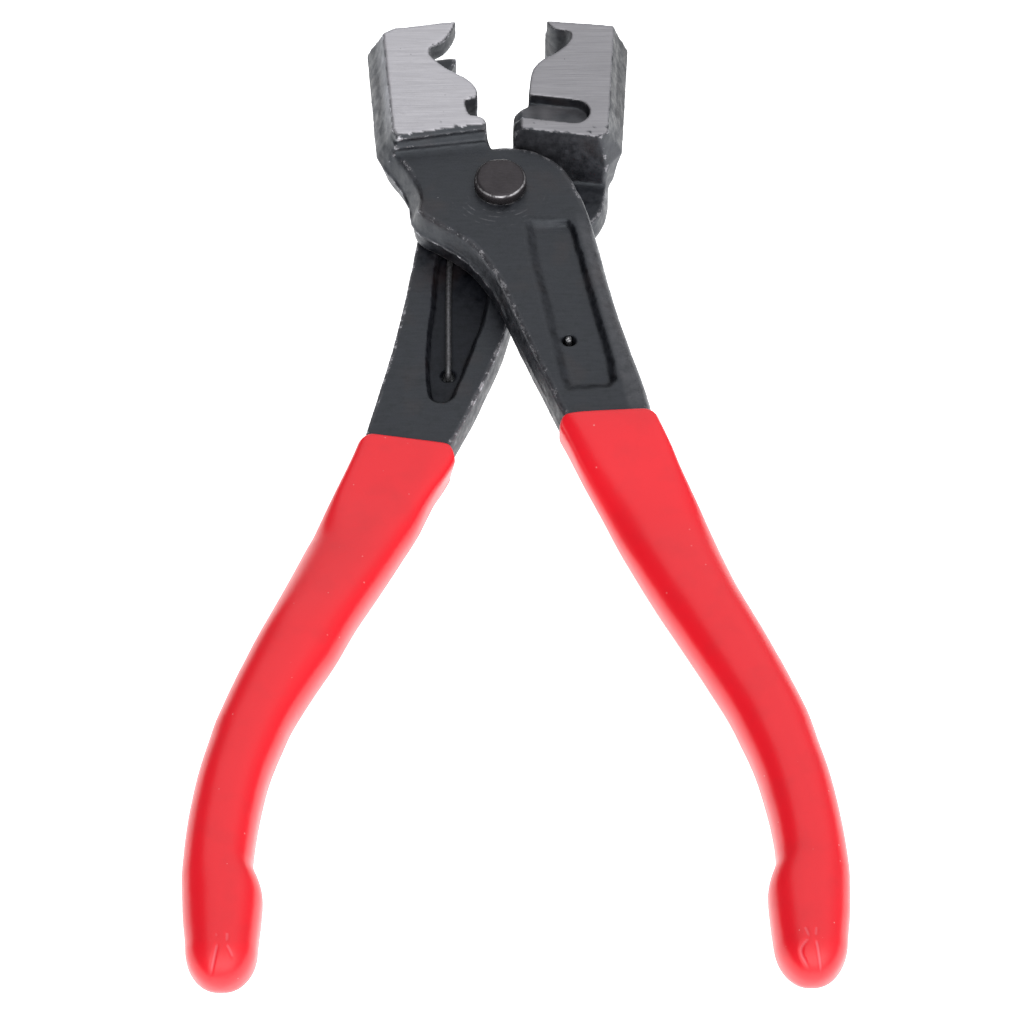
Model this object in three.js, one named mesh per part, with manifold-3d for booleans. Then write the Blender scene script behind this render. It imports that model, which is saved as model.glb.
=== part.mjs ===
// Hose clamp pliers: two forged steel halves lapped on one pivot pin, opened by a torsion
// spring between the lap plates, with a dipped sleeve on each handle.
//
// In millimetres: the pivot axis is Z, the jaws point along +Y and the handles along -Y. The
// pliers are modelled open. Heights below are from the lap plane between the two halves, and
// the finished group is lifted so that z = 0 is the end of the pin that the pliers lie on.
// The upper half has the left jaw and the right handle; the lower half is the other way round.
import * as THREE from 'three';
import { mergeVertices } from 'three/addons/utils/BufferGeometryUtils.js';
import Module from 'manifold-3d';

const wasm = await Module();
wasm.setup();

// ---- driving dimensions ----
const PLATE_TOP = 8;          // outer face of a lap plate, from the lap plane
const LAP_GAP = 0.15;         // half the running gap between the two lap plates
const LAP_CLEARANCE = 9.5;    // each jaw stands clear of the other half's plate outside this radius
const PARTING = 3.8;          // height of the forging's parting line, its widest outline
const JAW_TOP = 11;           // ground face of both jaws
const JAW_BOTTOM = -3;        // underside of both jaws
const ARM_RELIEF = 1.3;       // the arms' inner faces stand back this far at the sleeve
const ARM_END = -52.5;        // y where the flat arm has become the tang
const RIGHT_SLEEVE = { lip: -48.3, end: -148.3, tilt: 0.03 };  // open end, closed end, and
const LEFT_SLEEVE = { lip: -48.8, end: -146.9, tilt: 0.33 };   // slope of the open end across it
const TILT_FADE = 16;         // length over which that slope dies away
const TANG_END = -144.4;      // y of the steel handle's end inside the sleeve
const LIP_WALL = 0.7;         // the sleeve's wall at its open end
const SLEEVE_WALL = 1.0;
const FIT_GAP = 0.3;          // gap between the tang and the sleeve around it
const PIN_RADIUS = 3.7;
const PIN_HOLE_RADIUS = 4.0;
const PIN_HEAD_RADIUS = 4.45;
const PIN_TAIL_RADIUS = 4.3;
const PIN_HEAD_TOP = 9.6;
const PIN_TAIL_BOTTOM = -9.5;
const HEAD_GAP = 0.2;         // gap under each pin head
const WIRE_RADIUS = 0.5;
const COIL_RADIUS = 6.8;      // mean radius of the spring's coil
const COIL_TURNS = 1.5;
const COIL_HALF_RISE = 0.85;  // the coil climbs from minus this height to plus this height
const COIL_POCKET = { inner: 5.5, outer: 7.75, depth: 1.8 };
const LEG_HOLE = { x: 9.9, y: -32.5, radius: 1.1 };
const LEG_SLOT_DEPTH = 1.4;   // spring recess on the arm's inner face
const FACE_POCKET_DEPTH = 1.1; // shallow panel on the arm's outer face
const FORK = { bottom: 1, top: 7, root: 27.6, back: -15.2 };

// ---- geometry helpers ----
const v2 = ([x, y]) => new THREE.Vector2(x, y);

function prism(points, z0, z1) {
  const geometry = new THREE.ExtrudeGeometry(new THREE.Shape(points.map(v2)), {
    depth: z1 - z0, bevelEnabled: false, curveSegments: 12,
  });
  return geometry.translate(0, 0, z0);
}

function cylinder(radius, z0, z1, x = 0, y = 0, sides = 32) {
  const geometry = new THREE.CylinderGeometry(radius, radius, z1 - z0, sides);
  return geometry.rotateX(Math.PI / 2).translate(x, y, (z0 + z1) / 2);
}

// Moves each corner of a counter-clockwise outline inward by its own distance.
function inset(points, distances) {
  const count = points.length;
  return points.map((p, i) => {
    const before = points[(i + count - 1) % count];
    const after = points[(i + 1) % count];
    const a = new THREE.Vector2(p[0] - before[0], p[1] - before[1]).normalize();
    const b = new THREE.Vector2(after[0] - p[0], after[1] - p[1]).normalize();
    const normal = new THREE.Vector2(-(a.y + b.y), a.x + b.x).normalize();
    const reach = distances[i] / Math.max(0.5, normal.dot(new THREE.Vector2(-a.y, a.x)));
    return [p[0] + normal.x * reach, p[1] + normal.y * reach];
  });
}

// Closed solid through rings of equal length, listed so that each ring runs
// counter-clockwise as seen from the end that the rings advance towards.
function loft(rings, capFaces) {
  const count = rings[0].length;
  const positions = rings.flat().flatMap((p) => [p.x, p.y, p.z]);
  const index = [];
  for (let k = 0; k + 1 < rings.length; k += 1) {
    for (let i = 0; i < count; i += 1) {
      const j = (i + 1) % count;
      const a = k * count + i;
      const b = k * count + j;
      const c = b + count;
      const d = a + count;
      index.push(a, b, c, a, c, d);
    }
  }
  const last = (rings.length - 1) * count;
  for (const [a, b, c] of capFaces) {
    index.push(a, c, b, last + a, last + b, last + c);
  }
  const geometry = new THREE.BufferGeometry();
  geometry.setAttribute('position', new THREE.Float32BufferAttribute(positions, 3));
  geometry.setIndex(index);
  return geometry;
}

// Solid through outlines at rising heights, as a drafted forging has.
function stack(levels) {
  const rings = levels.map(({ z, outline }) => outline.map(([x, y]) => new THREE.Vector3(x, y, z)));
  const caps = THREE.ShapeUtils.triangulateShape(levels[0].outline.map(v2), []);
  return loft(rings, caps);
}

function fanCap(count) {
  return Array.from({ length: count - 2 }, (_, i) => [0, i + 1, i + 2]);
}

function solid(geometry) {
  const bare = geometry.clone();
  bare.deleteAttribute('normal');
  bare.deleteAttribute('uv');
  const welded = mergeVertices(bare, 1e-5);
  return new wasm.Manifold(new wasm.Mesh({
    numProp: 3,
    vertProperties: new Float32Array(welded.attributes.position.array),
    triVerts: new Uint32Array(welded.index.array),
  }));
}

function join(pieces) {
  return pieces.map(solid).reduce((a, b) => a.add(b));
}

function cut(body, cutters) {
  return cutters.map(solid).reduce((a, b) => a.subtract(b), body);
}

function toGeometry(body) {
  const mesh = body.getMesh();
  const geometry = new THREE.BufferGeometry();
  geometry.setAttribute('position', new THREE.Float32BufferAttribute(mesh.vertProperties, 3));
  geometry.setIndex(Array.from(mesh.triVerts));
  geometry.computeVertexNormals();
  return geometry;
}

// The lower half's blank is the upper half's turned half round about Y.
const turned = (geometry) => geometry.clone().rotateY(Math.PI);

// ---- the blank that both halves share: lap plate, arm and tang ----
// Widest outline of lap plate and arm, counter-clockwise: x, y, and how far the crest at
// the outer face stands in from it.
const UPPER_SHOULDER = [
  [-20.0, 8.4, 1.9], [-18.4, 5.9, 1.6], [-17.1, 3.5, 1.5], [-15.6, 0.0, 1.6], [-15.1, -3.0, 1.7],
  [-14.8, -5.6, 1.3], [-13.2, -7.4, 0.8],
];
const LOWER_SHOULDER = [
  [-18.9, 8.4, 0.6], [-18.7, 5.3, 0.6], [-18.4, 2.6, 0.7], [-17.8, 0.4, 0.8], [-16.8, -1.2, 0.8],
  [-15.2, -2.6, 0.8], [-14.7, -5.0, 0.8], [-13.0, -7.4, 0.8],
];
const THROAT = [
  [-11.0, -9.1, 0.7], [-7.7, -11.5, 0.7], [-5.3, -13.5, 0.7], [-2.8, -17.8, 0.7], [-1.2, -20.6, 0.6],
];
const ARM_INNER = [
  [1.0, -27.6, 0.4], [3.6, -34.4, 0.4], [6.0, -40.2, 0.4], [8.9, -47.0, 0.4], [11.2, ARM_END, 0.4],
];
const ARM_OUTER = [
  [25.0, ARM_END, 0.8], [23.3, -46.3, 0.8], [22.2, -41.8, 0.8], [20.4, -33.5, 0.8],
  [18.5, -25.0, 0.8], [16.9, -16.5, 0.8], [15.6, -9.0, 0.7], [14.7, -4.2, 0.7],
];
// The two arms were bent a little differently: how far each stands out halfway along.
const UPPER_ARM_BOW = 0.4;
const LOWER_ARM_BOW = -0.4;
const LAP_ARC = { x: 1.2, y: -3.5, radius: 12.5, from: 12, to: 103, steps: 10, crest: 0.5 };

function bowed(points, bow) {
  const share = (y) => THREE.MathUtils.smoothstep(-y, 14, 24) - THREE.MathUtils.smoothstep(-y, 39, 46.5);
  return points.map(([x, y, crest]) => [x + bow * share(y), y, crest]);
}

function blankOutline(shoulder, bow) {
  const points = [...shoulder, ...bowed([...THROAT, ...ARM_INNER, ...ARM_OUTER], bow)];
  const { x, y, radius, from, to, steps, crest } = LAP_ARC;
  for (let i = 0; i <= steps; i += 1) {
    const angle = THREE.MathUtils.degToRad(from + (i * (to - from)) / steps);
    points.push([x + radius * Math.cos(angle), y + radius * Math.sin(angle), crest]);
  }
  points.push([-2.4, 12, 0.5], [-18.4, 12, 0.5]);
  return points;
}

// Height of each level, and the share of the crest inset that it stands in by.
const DRAFT = [[LAP_GAP, 0.25], [PARTING, 0], [6.5, 0.4], [7.6, 0.75], [PLATE_TOP, 1.15]];

function plateAndArm(shoulder, bow) {
  const outline = blankOutline(shoulder, bow);
  const levelAt = (share) => inset(outline, outline.map(([, , crest]) => crest * share));
  return stack(DRAFT.map(([z, share]) => ({ z, outline: levelAt(share) })));
}

// Handle edges, seen from above: y, inner edge x, outer edge x of the sleeve's outside.
const HANDLE_EDGES = [
  [-40, 4.8, 22.3], [-46, 7.3, 24.2], [-52, 9.8, 26.2], [-64, 15.2, 30.75], [-76, 20.7, 35.2],
  [-88, 27.1, 40.45], [-100, 33.4, 45.3], [-112, 37.7, 48.4], [-124, 39.5, 50.0], [-136, 39.1, 50.0],
  [-148, 37.7, 48.3],
];
const END_ROUND = 5.6;        // length of the handle's rounded end
const THUMB_STOP = { y: -132.5, height: 1.7, width: 4.4 };

function edgeAt(column, y) {
  const rows = HANDLE_EDGES;
  let k = 1;
  while (k < rows.length - 3 && y < rows[k + 1][0]) k += 1;
  const t = (rows[k][0] - y) / (rows[k][0] - rows[k + 1][0]);
  const [a, b, c, d] = [k - 1, k, k + 1, k + 2].map((i) => rows[Math.min(i, rows.length - 1)][column]);
  const square = 2 * a - 5 * b + 4 * c - d;
  const cube = 3 * b - a - 3 * c + d;
  return 0.5 * (2 * b + (c - a) * t + square * t * t + cube * t * t * t);
}

const bump = (y) => THUMB_STOP.height * Math.exp(-(((y - THUMB_STOP.y) / THUMB_STOP.width) ** 2));

// The arms lie beside the lap plane; the handles come back to it behind the sleeve's lip.
function handleShape(y) {
  const settle = THREE.MathUtils.smoothstep(-y, 50, 74);
  const swell = THREE.MathUtils.smoothstep(-y, 53, 84);
  const soften = THREE.MathUtils.smoothstep(-y, 53, 66);
  return {
    inner: edgeAt(1, y),
    outer: edgeAt(2, y),
    centre: 4.65 - 4.15 * settle,
    half: 4.4 + 1.0 * swell,
    squareness: 14 - 10.6 * soften,
  };
}

// Thickness of the sleeve: thinner at its open end, where it was dipped last.
function wallAt(y) {
  return THREE.MathUtils.lerp(LIP_WALL, SLEEVE_WALL, THREE.MathUtils.smoothstep(-y, 52, 60));
}

// Closed loft along the handle from start to end, its surface lying inside the sleeve's
// outside by the wall times walls, plus extra. The start slopes across the handle by tilt.
function handleSolid({ walls, extra, start, end, tilt, sides, steps, withBump }) {
  const roundFrom = end + END_ROUND;
  const rings = [];
  for (let k = 0; k <= steps; k += 1) {
    const straight = 0.72 * steps;
    const y = k <= straight
      ? THREE.MathUtils.lerp(start, roundFrom, k / straight)
      : roundFrom - END_ROUND * Math.sin(((k - straight) / (steps - straight)) * 0.495 * Math.PI);
    const shape = handleShape(y);
    const depth = walls * wallAt(y) + extra;
    const intoRound = Math.max(0, roundFrom - y) / END_ROUND;
    const closing = Math.sqrt(Math.max(0.0004, 1 - intoRound ** 2));
    const inner = shape.inner - (withBump ? bump(y) : 0) + depth;
    const middle = (inner + shape.outer - depth) / 2;
    const halfWidth = ((shape.outer - depth - inner) / 2) * closing;
    const halfDepth = (shape.half - depth) * closing;
    const slope = tilt * (1 - THREE.MathUtils.smoothstep(start - y, 0, TILT_FADE));
    rings.push(Array.from({ length: sides }, (_, i) => {
      const angle = (2 * Math.PI * (i + 0.5)) / sides;
      const power = 2 / shape.squareness;
      const c = Math.cos(angle);
      const s = Math.sin(angle);
      const across = halfWidth * Math.sign(c) * Math.abs(c) ** power;
      return new THREE.Vector3(
        middle + across,
        y + slope * across,
        shape.centre + halfDepth * Math.sign(s) * Math.abs(s) ** power,
      );
    }));
  }
  return loft(rings, fanCap(sides));
}

// Prism whose section is given as [y, z] points and that runs along X from x0 to x1.
function sideways(section, x0, x1) {
  const shape = new THREE.Shape(section.map(v2));
  const geometry = new THREE.ExtrudeGeometry(shape, { depth: x1 - x0, bevelEnabled: false });
  const cycleAxes = new THREE.Matrix4().set(0, 0, 1, x0, 1, 0, 0, 0, 0, 1, 0, 0, 0, 0, 0, 1);
  return geometry.applyMatrix4(cycleAxes);
}

// Stands the arm's inner face back from the lap plane, more towards the sleeve.
function armRelief() {
  const side = [[-16, LAP_GAP], [-16, -2], [ARM_END - 1, -2], [ARM_END - 1, ARM_RELIEF]];
  return sideways(side, -20, 40);
}

// Shallow rounded panel sunk in the arm's outer face.
const FACE_POCKET = [
  [4.5, -8.7], [5.1, -15], [6.6, -23], [8.2, -32], [9.8, -42.2], [10.9, -43.1], [16.6, -42.6],
  [17.6, -41.2], [17.0, -35.5], [14.7, -24], [12.7, -13.5], [11.7, -8.9], [11.0, -8.2], [5.2, -8.0],
];

// Tapered recess on the arm's inner face, where the spring's leg lies.
const LEG_SLOT = [
  [5.0, -3.5], [1.8, -14], [3.2, -22], [5.6, -31.3], [7.4, -36.6], [8.4, -38.7], [9.9, -39.4],
  [11.5, -38.9], [12.3, -37.4], [12.7, -26], [12.2, -17.5], [11.0, -11], [9.6, -5], [8.0, -1.5],
];

function coilPocket() {
  const ring = cut(
    solid(cylinder(COIL_POCKET.outer, -1, COIL_POCKET.depth)),
    [cylinder(COIL_POCKET.inner, -2, COIL_POCKET.depth + 1)],
  );
  return toGeometry(ring);
}

function blankSolids(shoulder, bow) {
  const tang = handleSolid({
    walls: 1,
    extra: FIT_GAP,
    start: ARM_END + 2,
    end: TANG_END,
    tilt: 0,
    sides: 16,
    steps: 20,
    withBump: false,
  });
  return [plateAndArm(shoulder, bow), tang];
}

function blankCuts() {
  return [
    armRelief(),
    cylinder(PIN_HOLE_RADIUS, -1, PLATE_TOP + 1),
    coilPocket(),
    prism(FACE_POCKET, PLATE_TOP - FACE_POCKET_DEPTH, PLATE_TOP + 2),
    prism(LEG_SLOT, -2, LAP_GAP + LEG_SLOT_DEPTH + 0.2),
    cylinder(LEG_HOLE.radius, -1, PLATE_TOP + 1, LEG_HOLE.x, LEG_HOLE.y, 16),
  ];
}

// ---- jaws ----
// A jaw is its forged block, drafted to the parting line, inside its milled working profile.
function jawBlock(levels) {
  return stack(levels.map(([z, outline]) => ({ z, outline })));
}

const JAW_PARTING = 4.4;
const LEFT_REAR_STEP = 7.6;   // height where the left jaw's sloping back meets the plate

// Left jaw block: rear inner, front inner, front outer corner cut, rear outer.
const leftBlock = () => jawBlock([
  [JAW_BOTTOM, [
    [1, 10.4], [1, 35.0], [-7.4, 34.9], [-18.4, 33.6], [-20.6, 32.4], [-18.4, 13.5], [-16.6, 10.0]]],
  [LAP_GAP, [
    [1, 9.7], [1, 35.3], [-7.4, 35.2], [-18.6, 34.0], [-21.8, 32.8], [-20.1, 11.5], [-18.4, 9.2]]],
  [JAW_PARTING, [
    [1, 8.2], [1, 35.5], [-7.4, 35.4], [-18.9, 34.3], [-22.8, 33.1], [-21.0, 10.0], [-19.6, 7.6]]],
  [LEFT_REAR_STEP, [
    [1, 8.4], [1, 35.0], [-7.4, 34.9], [-18.2, 33.8], [-21.2, 32.6], [-19.3, 10.0], [-18.2, 6.7]]],
  [JAW_TOP, [
    [1, 11.8], [1, 35.4], [-7.2, 34.7], [-17.8, 33.5], [-19.95, 32.35], [-18.1, 10.4], [-17.4, 8.7]]],
]);

// Working profile of the left jaw, from the tip down: hook notch, bulge, small square
// notch, heel. The points outside the block only close the shape.
const LEFT_PROFILE = [
  [-7.2, 40], [-7.2, 34.7], [-7.7, 33.0], [-8.5, 31.3], [-9.4, 30.2], [-10.7, 29.4], [-11.5, 28.8],
  [-11.85, 28.0], [-11.6, 27.0], [-10.8, 25.9], [-7.6, 23.1], [-5.5, 21.6], [-4.3, 20.2], [-3.65, 18.8],
  [-3.7, 17.4], [-5.8, 16.6], [-5.45, 14.4], [-4.95, 13.2], [-3.75, 13.1], [-2.7, 12.6], [-2.2, 11.4],
  [-1.8, 8], [-1.8, 5], [-26, 5], [-26, 40],
];

// Parts the left jaw's tip into two claws, one above the other.
function forkSlot() {
  const { bottom, top, root, back } = FORK;
  return prism([[0, root], [0, 40], [back, 40], [back, root]], bottom, top);
}

const rightBlock = () => jawBlock([
  [JAW_BOTTOM, [[1, 9.4], [18.0, 6.6], [20.0, 9.4], [21.3, 32.6], [18, 34.2], [1, 35.0]]],
  [LAP_GAP, [[1, 9.1], [18.6, 5.9], [20.3, 8.6], [22.0, 33.0], [19, 34.5], [1, 35.3]]],
  [JAW_PARTING, [[1, 9.7], [18.4, 6.6], [21.0, 9.6], [22.9, 33.4], [20, 34.8], [1, 35.4]]],
  [PLATE_TOP, [[1, 10.2], [17.9, 7.3], [19.8, 9.5], [21.5, 33.4], [19, 34.0], [1, 34.9]]],
  [JAW_TOP, [[1, 10.5], [17.1, 7.85], [18.5, 9.0], [20.4, 33.2], [18, 33.5], [1, 35.2]]],
]);

// Working profile of the right jaw, from the heel up: bulge and hook notch.
const RIGHT_PROFILE = [
  [26, 40], [26, 5], [2.3, 5], [2.4, 12.5], [2.6, 14.8], [3.3, 16.0], [5.0, 17.0], [5.4, 20.2],
  [5.8, 22.5], [6.5, 24.2], [7.8, 25.7], [9.5, 26.8], [11.3, 28.4], [12.5, 29.9], [12.9, 31.2],
  [12.3, 32.2], [10.2, 32.6], [8.5, 34.4], [8.5, 40],
];

// Slot milled across the right jaw's ground face, open towards the other jaw.
const JAW_SLOT = { endX: 12.9, endY: 13.75, radius: 2.62, tilt: -9.3, length: 13, depth: 2.3 };

function jawSlot() {
  const { endX, endY, radius, tilt, length, depth } = JAW_SLOT;
  const shape = new THREE.Shape();
  shape.moveTo(-length, radius);
  shape.lineTo(0, radius);
  shape.absarc(0, 0, radius, Math.PI / 2, -Math.PI / 2, true);
  shape.lineTo(-length, -radius);
  shape.closePath();
  const options = { depth: depth + 3, bevelEnabled: false, curveSegments: 12 };
  const geometry = new THREE.ExtrudeGeometry(shape, options);
  return geometry.rotateZ(THREE.MathUtils.degToRad(tilt)).translate(endX, endY, JAW_TOP - depth);
}

// Rounds the right jaw's heel down from the ground face, below the slot.
const HEEL = { back: 7.5, front: 14.5 };

function heelBevel() {
  const side = [[2.0, JAW_TOP + 1], [4.3, JAW_TOP + 1], [3.8, JAW_TOP], [2.4, 8.0], [2.0, 7.0]];
  const options = { depth: HEEL.front - HEEL.back, bevelEnabled: false };
  const geometry = new THREE.ExtrudeGeometry(new THREE.Shape(side.map(v2)), options);
  return geometry.rotateX(Math.PI / 2).translate(0, HEEL.front, 0);
}

// Carries the right jaw from the lower lap plate up to its place across the lap plane.
const GUSSET = { left: 6.3, right: 17.8, back: 7.4, front: 25, top: -0.5 };

function rootGusset() {
  const { left, right, back, front, top } = GUSSET;
  const knee = [15, -PLATE_TOP + 0.4];
  return sideways([[back, -PLATE_TOP], knee, [front, JAW_BOTTOM], [front, top], [back, top]], left, right);
}

// ---- the six pieces ----
// Keeps the space that the other half's lap plate needs, below or above the lap plane.
function lapClearance(z0, z1) {
  return cylinder(LAP_CLEARANCE, z0, z1, 0, 0, 48);
}

function upperHalf() {
  const jaw = solid(leftBlock()).intersect(solid(prism(LEFT_PROFILE, -12, 14)));
  const jawCut = cut(jaw, [lapClearance(-9, LAP_GAP), forkSlot()]);
  const body = join(blankSolids(UPPER_SHOULDER, UPPER_ARM_BOW)).add(jawCut);
  return cut(body, blankCuts());
}

function lowerHalf() {
  const jaw = solid(rightBlock()).intersect(solid(prism(RIGHT_PROFILE, -12, 14)));
  const jawCut = cut(jaw, [lapClearance(-LAP_GAP, 14), jawSlot(), heelBevel()]);
  const blank = blankSolids(LOWER_SHOULDER, LOWER_ARM_BOW).map(turned);
  const body = join([...blank, rootGusset()]).add(jawCut);
  return cut(body, blankCuts().map(turned));
}

function pin() {
  const profile = [
    [0, PIN_TAIL_BOTTOM], [3.5, PIN_TAIL_BOTTOM], [PIN_TAIL_RADIUS, PIN_TAIL_BOTTOM + 0.6],
    [PIN_TAIL_RADIUS, -PLATE_TOP - HEAD_GAP], [PIN_RADIUS, -PLATE_TOP - HEAD_GAP],
    [PIN_RADIUS, PLATE_TOP + HEAD_GAP], [PIN_HEAD_RADIUS, PLATE_TOP + HEAD_GAP],
    [PIN_HEAD_RADIUS, PIN_HEAD_TOP - 0.5], [PIN_HEAD_RADIUS - 0.55, PIN_HEAD_TOP], [0, PIN_HEAD_TOP],
  ];
  return new THREE.LatheGeometry(profile.map(v2), 40).rotateX(Math.PI / 2);
}

// Centre line of the lower leg, from the end hooked through the arm's hole to the coil.
const LEG_LIFT = COIL_HALF_RISE + 0.05;
const LOWER_LEG = [
  [-LEG_HOLE.x, LEG_HOLE.y, -5.2], [-LEG_HOLE.x, LEG_HOLE.y, -2.2],
  [-LEG_HOLE.x + 0.1, LEG_HOLE.y + 0.9, -1.15], [-9.65, -29, -LEG_LIFT], [-9.1, -20, -LEG_LIFT],
  [-8.4, -10.5, -LEG_LIFT], [-7.3, -4.2, -LEG_LIFT],
];
const UPPER_TIP_Z = PLATE_TOP - 0.6;
const COIL_POINTS = 36;

function springPath() {
  const coil = Array.from({ length: COIL_POINTS + 1 }, (_, i) => {
    const share = i / COIL_POINTS;
    const angle = Math.PI - share * COIL_TURNS * 2 * Math.PI;
    const z = COIL_HALF_RISE * (2 * share - 1);
    return [COIL_RADIUS * Math.cos(angle), COIL_RADIUS * Math.sin(angle), z];
  });
  const upperLeg = LOWER_LEG.map(([x, y, z]) => [-x, y, -z]).reverse();
  upperLeg[upperLeg.length - 1][2] = UPPER_TIP_Z;
  const points = [...LOWER_LEG, ...coil, ...upperLeg].map((p) => new THREE.Vector3(...p));
  return new THREE.CatmullRomCurve3(points, false, 'centripetal');
}

function spring() {
  const wire = new THREE.Shape();
  wire.absarc(0, 0, WIRE_RADIUS, 0, 2 * Math.PI, false);
  return new THREE.ExtrudeGeometry(wire, {
    steps: 130, bevelEnabled: false, extrudePath: springPath(), curveSegments: 4,
  });
}

function sleeve({ lip, end, tilt }) {
  const outside = handleSolid({
    walls: 0, extra: 0, start: lip, end, tilt, sides: 24, steps: 30, withBump: true,
  });
  const cavity = handleSolid({
    walls: 1,
    extra: 0,
    start: lip + 4,
    end: TANG_END - FIT_GAP,
    tilt: 0,
    sides: 16,
    steps: 20,
    withBump: false,
  });
  return toGeometry(cut(solid(outside), [cavity]));
}

// ---- materials and scene graph ----
function finish(color, roughness, metalness) {
  return () => new THREE.MeshStandardMaterial({ color, roughness, metalness });
}

const blackSteel = finish(0x3c3d42, 0.55, 0.85);
const wornSteel = finish(0x55504f, 0.4, 0.9);
const springSteel = finish(0x6d6d70, 0.35, 0.9);
const redVinyl = finish(0xe23a44, 0.3, 0);

function named(name, geometry, material) {
  const mesh = new THREE.Mesh(geometry, material);
  mesh.name = name;
  return mesh;
}

const lower = new THREE.Group();
lower.add(
  named('lower_half', toGeometry(lowerHalf()), blackSteel()),
  named('left_grip', turned(sleeve(LEFT_SLEEVE)), redVinyl()),
  named('pivot_pin', pin(), wornSteel()),
  named('return_spring', spring(), springSteel()),
);

const upper = new THREE.Group();
upper.add(
  named('upper_half', toGeometry(upperHalf()), blackSteel()),
  named('right_grip', sleeve(RIGHT_SLEEVE), redVinyl()),
);

const pliers = new THREE.Group();
pliers.add(lower, upper);
pliers.position.z = -PIN_TAIL_BOTTOM;

export default pliers;
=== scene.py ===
"""Hose clamp pliers: two forged halves crossing on one pivot pin, a torsion spring between
their lap plates, and a dipped vinyl sleeve on each handle.

Lengths are millimetres until a mesh is made. The pivot axis is Z, the lap plane is z = 0,
the jaws point along +Y and the handles along -Y. Each steel half is described by signed
distances (negative inside) on a regular grid, and skinned with OpenVDB.
"""
import math

import bpy
import numpy as np
import openvdb
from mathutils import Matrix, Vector


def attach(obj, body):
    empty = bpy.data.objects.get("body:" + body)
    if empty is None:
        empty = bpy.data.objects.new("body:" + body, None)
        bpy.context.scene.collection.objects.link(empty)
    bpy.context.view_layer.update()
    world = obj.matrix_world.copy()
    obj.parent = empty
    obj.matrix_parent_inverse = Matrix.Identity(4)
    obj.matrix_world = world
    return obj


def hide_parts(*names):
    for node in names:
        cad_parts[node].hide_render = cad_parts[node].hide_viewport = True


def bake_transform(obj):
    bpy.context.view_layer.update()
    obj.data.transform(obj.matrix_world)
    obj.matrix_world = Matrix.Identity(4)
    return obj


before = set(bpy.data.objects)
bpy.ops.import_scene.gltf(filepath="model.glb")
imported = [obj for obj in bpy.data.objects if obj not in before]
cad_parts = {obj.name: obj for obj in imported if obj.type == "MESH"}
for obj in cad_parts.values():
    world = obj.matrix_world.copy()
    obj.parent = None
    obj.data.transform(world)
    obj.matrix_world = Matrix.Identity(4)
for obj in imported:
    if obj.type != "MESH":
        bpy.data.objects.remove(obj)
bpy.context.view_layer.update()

MM = 0.001

# ---- driving dimensions ----
GRID = 0.3                    # sampling step of the steel halves
PLATE_TOP = 8.0               # outer face of a lap plate
LAP_GAP = 0.15                # half the gap between the lap plates
PARTING = 3.9                 # height of the forging's parting line on plate and arm
JAW_TOP = 11.0                # ground jaw faces
JAW_BOTTOM = -3.0
JAW_PARTING = 4.4
STEEL_END = -53.5             # the finely sampled steel ends here, inside the sleeve
ARM_SET_BACK = 1.15           # how far an arm's inner face stands back where the sleeve begins
PANEL_DEPTH = 1.15            # of the panel sunk into an arm's outer face
MARGIN_DROP = 0.9             # how far the face falls between the panel and the arm's outer edge
RECESS_DEPTH = 1.35           # of the recess for the spring's leg
PIN_HEAD_RADIUS = 4.45
PIN_HEAD_TOP = 10.15
PIN_SHANK_RADIUS = 3.7
PIN_RIVET_RADIUS = 4.3        # of its riveted end
PIN_HOLE_RADIUS = 3.9
LAP_ROOM_RADIUS = 9.6         # the jaws are cut away round the pivot out to here
COIL_ROOM = dict(radius=6.6, half_width=1.1, height=1.8)
WIRE_RADIUS = 0.5
COIL_RADIUS = 6.8
COIL_TURNS = 1.5
COIL_HALF_RISE = 0.85
UPPER_LEG_HOLE = (10.75, -32.5)
LOWER_LEG_HOLE = (9.3, -32.8)  # seen from the lower half's own outer face
LEG_HOLE_RADIUS = 1.1
LIFT = 9.5                    # the frame's origin is the pin's riveted end, this far below
EDGE_BEND = 0.1               # how far a sharp edge stands out of its neighbours' mean

# Handle, seen from above: y, inner edge x and outer edge x of the sleeve's outside.
HANDLE_EDGES = [
    (-40, 4.8, 22.0), (-46, 7.3, 23.7), (-52, 9.9, 25.9), (-64, 15.2, 31.0), (-76, 20.7, 35.4),
    (-88, 27.0, 40.6), (-100, 33.1, 45.35), (-106, 35.4, 47.05), (-112, 37.3, 48.5),
    (-118, 38.55, 49.45), (-123, 39.25, 50.0), (-126.6, 39.4, 50.25), (-128.4, 39.15, 50.35),
    (-130.2, 38.45, 50.38), (-131.8, 38.0, 50.3), (-133.6, 37.8, 50.2), (-137.0, 37.9, 49.9),
    (-140.6, 38.15, 49.4), (-144.0, 38.5, 49.0), (-150.0, 39.2, 48.2)]
END_ROUND = 6.0               # length of a handle's rounded end
TANG_END = -144.4             # end of the steel inside the sleeve
SLEEVE_WALL = 1.0
SLEEVE_SIDES = 160
HANDLE_HALF_HEIGHT = 4.4      # at the sleeve's open end; it swells by 1 further down
SQUARE = 9.0                  # superellipse powers of a handle's section: flat bar ...
ROUNDED = 2.5                 # ... and the oval it turns into
FOLD_DEPTH = 0.15             # of the deepest fold on a sleeve's end
# Rounded lip of a sleeve: distance back from its open end, depth inside its outside.
LIP_PROFILE = [(1.2, 1.0), (0.6, 1.0), (0.25, 0.95), (0.05, 0.8), (0.0, 0.6), (0.0, 0.4), (0.08, 0.2),
               (0.22, 0.07), (0.45, 0.01), (0.8, 0.0)]
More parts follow.
